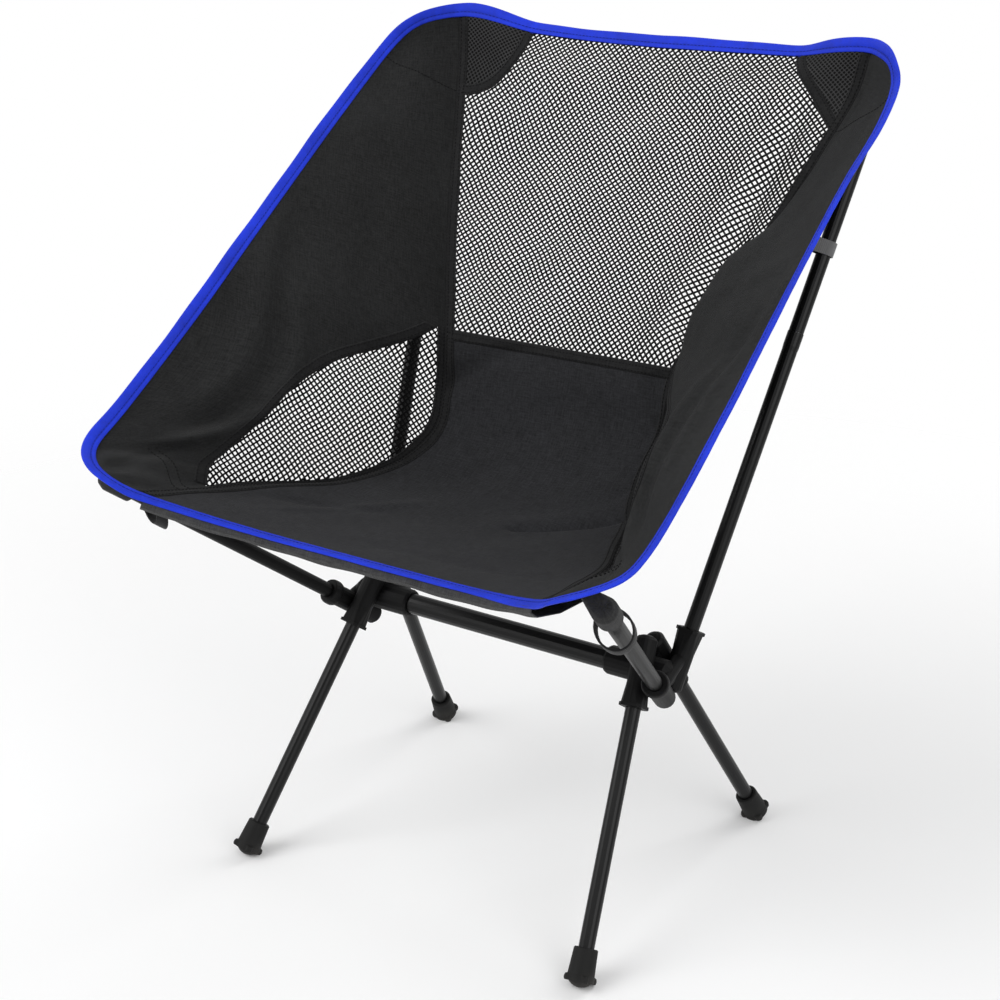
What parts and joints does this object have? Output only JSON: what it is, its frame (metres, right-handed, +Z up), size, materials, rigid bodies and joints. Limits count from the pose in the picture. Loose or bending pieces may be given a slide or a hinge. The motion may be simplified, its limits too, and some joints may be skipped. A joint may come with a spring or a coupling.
{
  "type": "folding camp chair",
  "caption": "Low folding camp chair: a deep cloth and net sling with a bright edge binding, on slim shock-corded poles that plug into hubs on a crossbar.",
  "frame": {"origin": "the middle of the footprint of the whole chair, on the floor", "axes": "+Z up, the sitter faces -Y, and +X is the right-hand side for someone who faces the chair"},
  "size_m": [0.5214, 0.5168, 0.6856],
  "materials": {
    "crossbar_paint": "satin black paint",
    "pole_paint": "satin black paint",
    "ferrule_metal": "drawn tube, unpainted",
    "hub_plastic": "moulded, fine matt grain",
    "tip_plastic": "moulded",
    "foot_rubber": "matt rubber",
    "cord_elastic": "braided elastic cord",
    "seat_cloth": "plain-woven polyester",
    "wing_cloth": "plain-woven polyester",
    "open_net": "open knitted net",
    "fine_mesh": "fine knitted mesh",
    "blue_binding": "woven binding tape, stitched",
    "facing_cloth": "woven lining",
    "pocket_cloth": "coated woven cloth",
    "black_webbing": "woven webbing",
    "grey_webbing": "woven webbing"
  },
  "bodies": {
    "frame_and_sling": {"back_net": "open_net", "back_pole_cord_left": "cord_elastic", "back_pole_cord_right": "cord_elastic", "back_pole_ferrule_left": "ferrule_metal", "back_pole_ferrule_right": "ferrule_metal", "back_pole_lower_left": "pole_paint", "back_pole_lower_right": "pole_paint", "back_pole_tip_left": "tip_plastic", "back_pole_tip_right": "tip_plastic", "back_pole_upper_left": "pole_paint", "back_pole_upper_right": "pole_paint", "back_tab_left": "grey_webbing", "back_tab_right": "grey_webbing", "crossbar": "crossbar_paint", "edge_binding": "blue_binding", "front_hem_facing": "facing_cloth", "front_pocket_left": "pocket_cloth", "front_pocket_right": "pocket_cloth", "hub_left": "hub_plastic", "hub_right": "hub_plastic", "pull_loop_left": "black_webbing", "pull_loop_right": "black_webbing", "seat_panel": "seat_cloth", "seat_pole_cord_left": "cord_elastic", "seat_pole_cord_right": "cord_elastic", "seat_pole_left": "pole_paint", "seat_pole_right": "pole_paint", "seat_pole_tip_left": "tip_plastic", "seat_pole_tip_right": "tip_plastic", "side_wing_left": "wing_cloth", "side_wing_right": "wing_cloth", "top_corner_patch_left": "fine_mesh", "top_corner_patch_right": "fine_mesh", "top_pocket_left": "pocket_cloth", "top_pocket_right": "pocket_cloth", "window_net_left": "open_net", "window_net_right": "open_net"},
    "front_leg_right": {"front_leg_right": "pole_paint", "front_foot_right": "foot_rubber", "front_leg_cord_right": "cord_elastic"},
    "rear_leg_right": {"rear_leg_right": "pole_paint", "rear_foot_right": "foot_rubber", "rear_leg_cord_right": "cord_elastic"},
    "front_leg_left": {"front_leg_left": "pole_paint", "front_foot_left": "foot_rubber", "front_leg_cord_left": "cord_elastic"},
    "rear_leg_left": {"rear_leg_left": "pole_paint", "rear_foot_left": "foot_rubber", "rear_leg_cord_left": "cord_elastic"}
  },
  "joints": [
    {"name": "front_leg_right_pull", "type": "slide", "parent": "frame_and_sling", "child": "front_leg_right", "axis": [0.1305, -0.5897, -0.797], "range_m": [0, 0.053], "stiffness_N_per_m": 80, "springref_m": -0.12},
    {"name": "rear_leg_right_pull", "type": "slide", "parent": "frame_and_sling", "child": "rear_leg_right", "axis": [0.1576, 0.4878, -0.8586], "range_m": [0, 0.05], "stiffness_N_per_m": 80, "springref_m": -0.12},
    {"name": "front_leg_left_pull", "type": "slide", "parent": "frame_and_sling", "child": "front_leg_left", "axis": [-0.1305, -0.5897, -0.797], "range_m": [0, 0.053], "stiffness_N_per_m": 80, "springref_m": -0.12},
    {"name": "rear_leg_left_pull", "type": "slide", "parent": "frame_and_sling", "child": "rear_leg_left", "axis": [-0.1576, 0.4878, -0.8586], "range_m": [0, 0.05], "stiffness_N_per_m": 80, "springref_m": -0.12}
  ]
}
